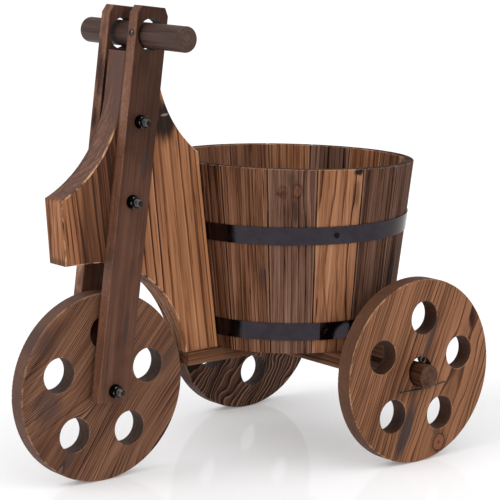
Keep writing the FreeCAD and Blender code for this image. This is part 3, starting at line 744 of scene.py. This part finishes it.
# Front wheel: the grain fans out below the hub, with calm spots and sooty ones
FRONT_FACE = 0.011
FRONT_LEAN = -41
FRONT_FAN_BELOW = 0.02
CALM_RADII = (0.036, 0.05, 0.040)
CALM_SHARE = 0.8
FRONT_CALMS = (
    Patch(Vector((0.106, FRONT_FACE, 0.115)), CALM_RADII, CALM_SHARE),
    Patch(Vector((0.125, FRONT_FACE, 0.050)), CALM_RADII, CALM_SHARE),
    Patch(Vector((0.235, FRONT_FACE, 0.185)), CALM_RADII, CALM_SHARE),
    Patch(Vector((0.248, FRONT_FACE, 0.046)), CALM_RADII, CALM_SHARE),
)
FRONT_SMUDGES = (
    Patch(Vector((0.2444, FRONT_FACE, 0.0977)), (0.022, 0.03, 0.026), 0.55),
    Patch(Vector((0.0780, FRONT_FACE, 0.1310)), (0.010, 0.03, 0.030), 0.50),
    Patch(Vector((0.2193, FRONT_FACE, 0.0340)), (0.010, 0.03, 0.026), 0.60),
    Patch(Vector((0.2536, FRONT_FACE, 0.1768)), (0.030, 0.03, 0.024), 0.45),
)
front = wheel_wood("front_wheel_wood", "front_wheel", FRONT_HUB, FRONT_LEAN, pith_across=-0.12,
                   pith_behind=0.06, seed=4.0, tread=stained(88, 67, 59))
front.fan(FRONT_HUB - leaning(FRONT_LEAN) * FRONT_FAN_BELOW, width=0.016, front=0.36, rear=0.12)
for patch in FRONT_CALMS:
    front.calm(patch)
front.rings(spacing=0.0024, wobble=0.0025, bunch=1.2, lines=0.55, ridges=0.3, start=0.4, patchy=0.6)
front.streaks(broad=0.5, fibres=0.4, scorch=0.2)
for patch in FRONT_SMUDGES:
    front.coat(front.blot(patch), SOOT)
dress("front_wheel", front.done(relief=0.001))

# Near rear wheel: broad dark lines, a knot and three sooty spots
REAR_FACE = 0.175
REAR_LEAN = -23
REAR_SHADE = -0.04
REAR_KNOT = Vector((-0.2009, REAR_FACE, 0.0186))
REAR_SMUDGE_RAGGED = 0.35
REAR_SMUDGES = (
    Patch(Vector((-0.1478, REAR_FACE, 0.0430)), (0.013, 0.03, 0.044), 0.90),
    Patch(Vector((-0.1852, REAR_FACE, 0.1516)), (0.007, 0.03, 0.036), 0.65),
    Patch(Vector((-0.1964, REAR_FACE, 0.0340)), (0.008, 0.03, 0.009), 0.50),
)
rear = wheel_wood("rear_left_wood", "rear_wheel", REAR_LEFT_HUB, REAR_LEAN, pith_across=-0.06,
                  pith_behind=0.06, seed=5.0, tread=stained(76, 56, 48))
rear.knot(REAR_KNOT, radius=0.0085)
rear.rings(spacing=0.0034, wobble=0.007, bunch=1.4, lines=0.75, ridges=0.15, bands=0.2, start=0.62,
           patchy=0.4, sway=6.0)
rear.streaks(broad=0.45, fibres=0.35, scorch=0.15)
rear.lighten(REAR_SHADE)
for patch in REAR_SMUDGES:
    rear.coat(rear.blot(patch, REAR_SMUDGE_RAGGED), SOOT)
dress("rear_wheel_left", rear.done(relief=0.001))

# Far rear wheel: a dark board whose winding lines part below the hub and ahead of it
FAR_LEAN = -28
FAR_SPLIT = REAR_RIGHT_HUB + Vector((0.055, 0, -0.045))
far = wheel_wood("rear_right_wood", "far_wheel", REAR_RIGHT_HUB, FAR_LEAN, pith_across=0.07,
                 pith_behind=0.05, seed=6.0, tread=stained(70, 50, 42))
far.split(FAR_SPLIT, radii=(0.03, 1.0, 0.04), amount=0.012)
far.rings(spacing=0.0050, wobble=0.016, bunch=1.8, lines=0.9, ridges=1.3, patchy=0.2, sway=16.0)
far.streaks(broad=0.8, fibres=0.35, scorch=0.2)
dress("rear_wheel_right", far.done(relief=0.0014))

# Base boards and the barrel's floor
PLANK_SEED = 8.0
FIRST_BOARD_SEED = 9
CROSSWISE_BOARDS = ("cross_board", "axle_board", "floor_board_rear", "floor_board_middle",
                    "floor_board_front")
BOARD_WEAR_SHARE = 0.5


def board_wood(node, along, across, pith_below, seed):
    middle = sum(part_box(node), Vector()) / 2
    wood = Wood(node + "_wood", "base", along, across, middle - UP * pith_below, seed)
    wood.rings(spacing=0.005, lines=0.4)
    wood.streaks()
    wood.wear(UP, BOARD_WEAR_SHARE)
    return wood.done()


dress("base_plank", board_wood("base_plank", FORWARD, LEFT, pith_below=0.04, seed=PLANK_SEED))
for seed, node in enumerate(CROSSWISE_BOARDS, FIRST_BOARD_SEED):
    dress(node, board_wood(node, LEFT, FORWARD, pith_below=0.05, seed=seed))

# Staves, from the one at the panel round by the left: the pith lies across and behind the outer face
Stave = namedtuple("Stave", "stain shade spacing pith_across pith_behind lines ridges start sway",
                   defaults=(RING_SWAY,))
STAVES = (
    Stave("stave", -0.06, 0.0036, 0.07, 0.05, 0.40, 0.15, 0.35),
    Stave("stave", 0.03, 0.0034, -0.05, 0.06, 0.42, 0.34, 0.40),
    Stave("grey_stave", 0.02, 0.0032, 0.09, 0.06, 0.26, 0.15, 0.40),
    Stave("warm_stave", 0.03, 0.0056, -0.03, 0.06, 0.52, 0.10, 0.66, 9.0),
    Stave("grey_stave", -0.04, 0.0026, 0.08, 0.06, 0.32, 0.15, 0.40),
    Stave("grey_stave", -0.06, 0.0030, -0.05, 0.07, 0.32, 0.15, 0.40),
    Stave("stave", 0.05, 0.0050, 0.02, 0.05, 0.40, 0.15, 0.50),
    Stave("stave", -0.10, 0.0036, 0.06, 0.09, 0.35, 0.10, 0.40),
    Stave("warm_stave", -0.10, 0.0050, 0.00, 0.05, 0.40, 0.15, 0.60),
    Stave("grey_stave", -0.14, 0.0046, -0.07, 0.06, 0.35, 0.15, 0.40),
    Stave("warm_stave", -0.10, 0.0046, 0.03, 0.05, 0.45, 0.30, 0.40),
    Stave("stave", 0.00, 0.0060, 0.03, 0.08, 0.25, 0.25, 0.60),
    Stave("stave", 0.00, 0.0040, -0.03, 0.08, 0.30, 0.15, 0.40),
    Stave("stave", 0.08, 0.0052, 0.02, 0.05, 0.40, 0.20, 0.50),
    Stave("stave", 0.00, 0.0036, -0.06, 0.09, 0.40, 0.20, 0.40),
    Stave("grey_stave", -0.06, 0.0044, 0.04, 0.06, 0.40, 0.15, 0.40),
)
FIRST_STAVE_SEED = 20.0
STAVE_HALF_TURN = math.radians(STAVE_TURN / 2)
STAVE_INSIDE = (-0.3, -0.6)
STAVE_INSIDE_SHADE = 0.12
STAVE_RIM = (0.8, 0.95)
STAVE_RIM_SHARE = 0.7
STAVE_WEAR_SHARE = 0.5

# Knots and burnt patches on the staves, by stave number from zero
StaveKnot = namedtuple("StaveKnot", "angle z radius share")
StaveBurn = namedtuple("StaveBurn", "angle z width length share colour")
STAVE_KNOTS = {
    2: (StaveKnot(46.8, 0.3290, 0.0040, 0.25), StaveKnot(53.5, 0.3306, 0.0046, 0.4)),
}
STAVE_BURNS = {
    1: (StaveBurn(36.8, 0.2250, 0.004, 0.022, 0.7, SOOT),),
    2: (StaveBurn(46.0, 0.3270, 0.008, 0.004, 0.4, CHAR),
        StaveBurn(52.6, 0.3080, 0.004, 0.024, 0.5, CHAR),
        StaveBurn(51.0, 0.3420, 0.008, 0.012, 0.3, CHAR)),
    3: (StaveBurn(82.4, 0.3505, 0.009, 0.005, 0.95, CHAR),
        StaveBurn(82.0, 0.3240, 0.004, 0.030, 0.5, CHAR)),
}
STAVE_BURN_DEPTH = 0.02
STAVE_BURN_RAGGED = 0.9

# Joints between staves, as shares of the way from a stave's middle line to its side
JOINT_TEXTURE = Texture((200, 200, 26), 3.0, 0.6)
JOINT_RAGGED = 0.07
JOINT_PALE_START = (0.89, 0.93)
JOINT_PALE_END = (0.95, 0.975)
JOINT_PALE_SHARE = 0.35
JOINT_BURN = (0.955, 0.99)
JOINT_BURN_SHARE = 0.7


def barrel_place(angle, z):
    """A place on the barrel's outside, by its angle and height."""
    turn = math.radians(angle)
    radius = BARREL_FOOT_RADIUS + BARREL_TAPER * (z - BARREL_FOOT.z)
    return Vector((BARREL_FOOT.x + radius * math.cos(turn), radius * math.sin(turn), z))


def burn_joints(wood, outward, around):
    """Darkens a stave along its joints, with a pale line rubbed beside each."""
    arm = wood.vector("SUBTRACT", wood.place, BARREL_FOOT)
    half = wood.product(wood.vector("DOT_PRODUCT", arm, outward), math.tan(STAVE_HALF_TURN))
    across = wood.compute("ABSOLUTE", wood.vector("DOT_PRODUCT", arm, around))
    ragged = wood.swing(wood.noise(wood.drift, JOINT_TEXTURE), JOINT_RAGGED)
    share = wood.compute("ADD", wood.compute("DIVIDE", across, half), ragged)
    pale = wood.product(wood.span(share, *JOINT_PALE_START),
                        wood.fade(share, *JOINT_PALE_END, JOINT_PALE_SHARE))
    wood.coat(pale, wood.worn)
    wood.coat(wood.span(share, *JOINT_BURN, 0.0, JOINT_BURN_SHARE), CHAR)


def stave_wood(index):
    stave = STAVES[index]
    angle = FIRST_STAVE_ANGLE + (index + 0.5) * STAVE_TURN
    outward = Vector((math.cos(math.radians(angle)), math.sin(math.radians(angle)), 0))
    around = UP.cross(outward)
    along = UP + outward * BARREL_TAPER
    foot = barrel_place(angle, BARREL_FOOT.z)
    pith = foot + around * stave.pith_across - outward * stave.pith_behind
    name = f"stave_wood_{index + 1:02d}"
    wood = Wood(name, stave.stain, along, around, pith, FIRST_STAVE_SEED + index)
    wood.lighten(stave.shade)
    for knot in STAVE_KNOTS.get(index, ()):
        place = barrel_place(knot.angle, knot.z)
        wood.knot(place, knot.radius, squeeze=0.7, share=knot.share, ragged=1.2)
    wood.rings(spacing=stave.spacing, wobble=0.004, bunch=1.4, lines=stave.lines, ridges=stave.ridges,
               start=stave.start, sway=stave.sway)
    wood.streaks(broad=0.9, fibres=0.75, scorch=0.2, cracks=0.45)
    inside = wood.span(wood.toward(outward), *STAVE_INSIDE)
    wood.lighten(wood.product(inside, STAVE_INSIDE_SHADE))
    burn_joints(wood, outward, around)
    rim = wood.span(wood.toward(UP), *STAVE_RIM)
    wood.coat(wood.product(rim, STAVE_RIM_SHARE), CHAR)
    for burn in STAVE_BURNS.get(index, ()):
        radii = (burn.width, STAVE_BURN_DEPTH, burn.length)
        patch = Patch(barrel_place(burn.angle, burn.z), radii, burn.share)
        wood.coat(wood.blot(patch, STAVE_BURN_RAGGED), burn.colour)
    wood.wear(UP, STAVE_WEAR_SHARE)
    return wood.done(rough=0.75, gloss=0.08)


for index in range(STAVE_COUNT):
    dress(f"stave_{index + 1:02d}", stave_wood(index))

# Steel: hoops, nails and washers, and fasteners whose edges carry a painted highlight, partly paint rubbed
# bright
HOOPS = ("hoop_upper", "hoop_lower")
NAILS_AND_WASHERS = ("hoop_nails", "fork_washers", "front_axle_washers", "front_wheel_washers")
FASTENERS = ("fork_bolts", "fork_nuts", "front_axle_bolt", "front_axle_nut", "cotter_pin_left",
             "cotter_pin_right", "handlebar_screw", "panel_screws", "floor_screws", "axle_screws",
             "stave_screws")
hoop_paint = painted_steel("hoop_paint", rough=0.14, dull=(50, 46, 51), bright=(58, 53, 58))
nail_paint = painted_steel("nail_paint", rough=0.25, dull=(24, 21, 22), bright=(36, 32, 34))
fastener_paint = painted_steel("fastener_paint", rough=0.28, dull=(30, 27, 27), bright=(50, 46, 45),
                               worn_highlight=(118, 114, 112))
for names, paint in ((HOOPS, hoop_paint), (NAILS_AND_WASHERS, nail_paint), (FASTENERS, fastener_paint)):
    for name in names:
        dress(name, paint)

# Thread ridges on the bolt ends that stand out of their nuts; the fork's lie up it from the front hub
BOLT_RADIUS = 0.004
FORK_BOLT_REACHES = {"fork_thread_lower": 0.2155, "fork_thread_upper": 0.3055}
FORK_BOLT_AHEAD = 0.0025
THREAD_PITCH = 0.00125
THREAD_DEPTH = 0.0005
THREAD_CREST = THREAD_DEPTH * 1.5
THREAD_WIDTH = 0.0011
THREAD_STEPS = 36
RIDGE_SIDES = ((0, 1), (1, 2), (2, 0))


def thread(name, centre, bolt, nut):
    """A sharp helical ridge round a bolt's end, from its nut's face to its chamfer."""
    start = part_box(nut)[1].y
    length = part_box(bolt)[1].y - start - THREAD_PITCH
    steps = int(length / THREAD_PITCH * THREAD_STEPS)
    ridge = bmesh.new()
    rows = []
    for step in range(steps + 1):
        turn = math.tau * step / THREAD_STEPS
        spoke = Vector((math.cos(turn), 0, math.sin(turn)))
        middle = Vector((centre.x, start + length * step / steps, centre.z))
        foot = middle + spoke * (BOLT_RADIUS - THREAD_DEPTH)
        crest = foot + spoke * THREAD_CREST + LEFT * THREAD_WIDTH / 2
        corners = (foot, crest, foot + LEFT * THREAD_WIDTH)
        rows.append([ridge.verts.new(corner) for corner in corners])
    for row, following in zip(rows, rows[1:]):
        for first, second in RIDGE_SIDES:
            ridge.faces.new((row[first], row[second], following[second], following[first]))
    ridge.faces.new(rows[0])
    ridge.faces.new(rows[-1])
    bmesh.ops.recalc_face_normals(ridge, faces=ridge.faces)
    mesh = bpy.data.meshes.new(name)
    ridge.to_mesh(mesh)
    ridge.free()
    mesh.materials.append(fastener_paint)
    piece = bpy.data.objects.new(name, mesh)
    bpy.context.collection.objects.link(piece)
    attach(piece, "frame")


thread("front_axle_thread", FRONT_HUB, "front_axle_bolt", "front_axle_nut")
for name, reach in FORK_BOLT_REACHES.items():
    centre = FRONT_HUB + RAKE_UP * reach + RAKE_AHEAD * FORK_BOLT_AHEAD
    thread(name, centre, "fork_bolts", "fork_nuts")

# Floor: matt white with a faint polish that mirrors the wheels
FLOOR_HALF = 30.0
FLOOR_CORNERS = ((-FLOOR_HALF, -FLOOR_HALF, 0), (FLOOR_HALF, -FLOOR_HALF, 0),
                 (FLOOR_HALF, FLOOR_HALF, 0), (-FLOOR_HALF, FLOOR_HALF, 0))
FLOOR_LOOK = {
    "Base Color": (0.9, 0.9, 0.91, 1),
    "Roughness": 0.8,
    "Specular IOR Level": 0.1,
    "Coat Weight": 0.35,
    "Coat Roughness": 0.04,
    "Emission Color": WHITE,
    "Emission Strength": 0.19,
}
floor_mesh = bpy.data.meshes.new("floor")
floor_mesh.from_pydata(FLOOR_CORNERS, [], [(0, 1, 2, 3)])
floor = bpy.data.objects.new("floor", floor_mesh)
bpy.context.collection.objects.link(floor)
floor_paint = bpy.data.materials.new("floor_paint")
floor_paint.use_nodes = True
floor_shader = floor_paint.node_tree.nodes["Principled BSDF"]
for socket, value in FLOOR_LOOK.items():
    floor_shader.inputs[socket].default_value = value
floor_mesh.materials.append(floor_paint)

# Studio light: a white room and two broad soft lamps
ROOM_STRENGTH = 0.75
world = bpy.data.worlds.new("studio")
world.use_nodes = True
room = world.node_tree.nodes["Background"]
room.inputs["Color"].default_value = WHITE
room.inputs["Strength"].default_value = ROOM_STRENGTH
bpy.context.scene.world = world


def soft_sun(name, azimuth, elevation, strength, spread):
    """A far, broad lamp: azimuth 0 is ahead of the planter and 90 on its left."""
    lamp = bpy.data.lights.new(name, "SUN")
    lamp.energy = strength
    lamp.angle = math.radians(spread)
    light = bpy.data.objects.new(name, lamp)
    turn = math.radians(azimuth)
    rise = math.radians(elevation)
    flat = math.cos(rise)
    toward = Vector((flat * math.cos(turn), flat * math.sin(turn), math.sin(rise)))
    light.rotation_euler = (-toward).to_track_quat("-Z", "Y").to_euler()
    bpy.context.collection.objects.link(light)


soft_sun("key", azimuth=-5, elevation=38, strength=1.1, spread=45)
soft_sun("fill", azimuth=95, elevation=42, strength=0.65, spread=60)

# Camera
back = (CAMERA_PLACE - CAMERA_TARGET).normalized()
right = UP.cross(back).normalized()
upward = back.cross(right)
rolled_right = right * math.cos(CAMERA_ROLL) + upward * math.sin(CAMERA_ROLL)
rolled_up = upward * math.cos(CAMERA_ROLL) - right * math.sin(CAMERA_ROLL)
camera_data = bpy.data.cameras.new("camera")
camera_data.lens = CAMERA_LENS
camera_data.sensor_width = CAMERA_SENSOR
camera_data.clip_end = CAMERA_REACH
camera = bpy.data.objects.new("camera", camera_data)
turn = Matrix((rolled_right, rolled_up, back)).transposed().to_4x4()
camera.matrix_world = Matrix.Translation(CAMERA_PLACE) @ turn
bpy.context.collection.objects.link(camera)
bpy.context.scene.camera = camera
bpy.context.scene.view_settings.view_transform = "Standard"
